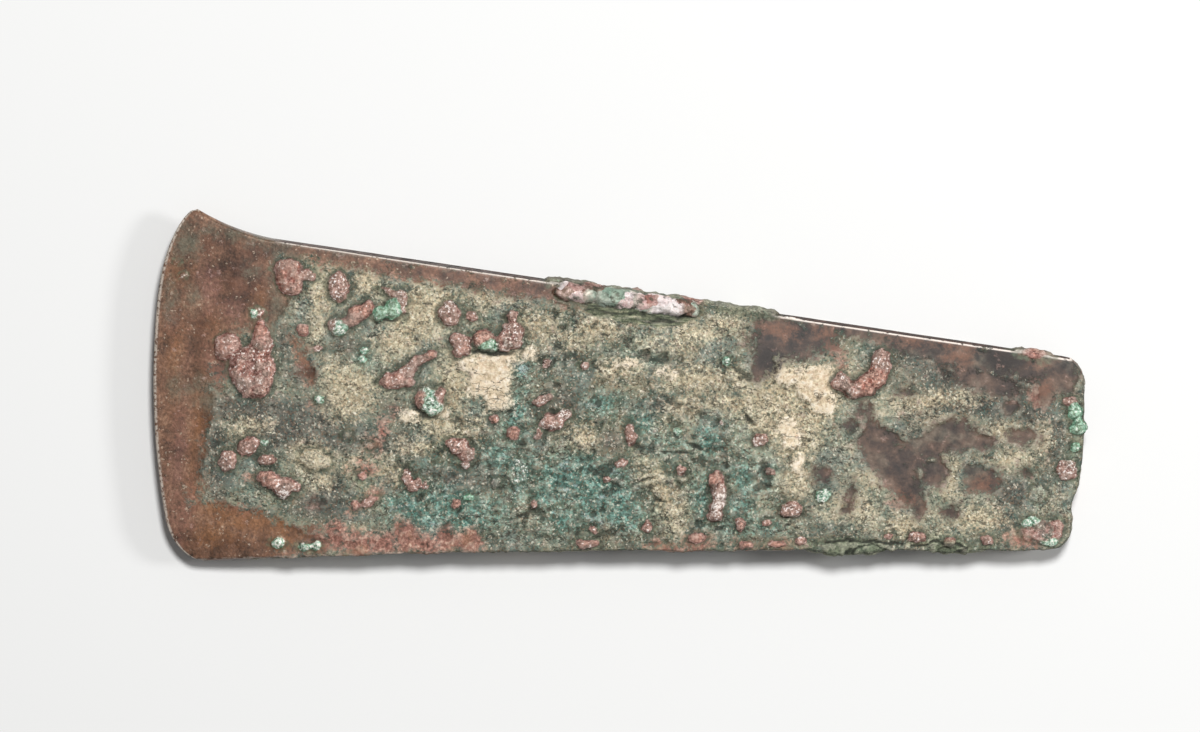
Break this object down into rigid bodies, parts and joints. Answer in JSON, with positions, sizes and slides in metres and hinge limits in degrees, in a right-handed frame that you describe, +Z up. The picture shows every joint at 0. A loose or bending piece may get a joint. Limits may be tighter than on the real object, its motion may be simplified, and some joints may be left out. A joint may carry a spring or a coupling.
{
  "type": "bronze flat axe head",
  "caption": "Flat axe head of corroded bronze: flared, worn cutting edge, body tapering to a narrow butt, warts of corrosion.",
  "frame": {"origin": "on the surface that the axe lies on, on the centreline of its taper and halfway along its length", "axes": "+X along the centreline from the cutting edge to the butt, +Y across towards the longer horn, +Z up out of the upper broad face"},
  "size_m": [0.15, 0.0563, 0.0107],
  "materials": {
    "axe_head": "bronze under brown, olive and grey-green corrosion crust with pink, teal and sand-coloured patches, bare copper-brown at the cutting edge"
  },
  "bodies": {
    "root": {"axe_head": "axe_head"}
  },
  "joints": []
}
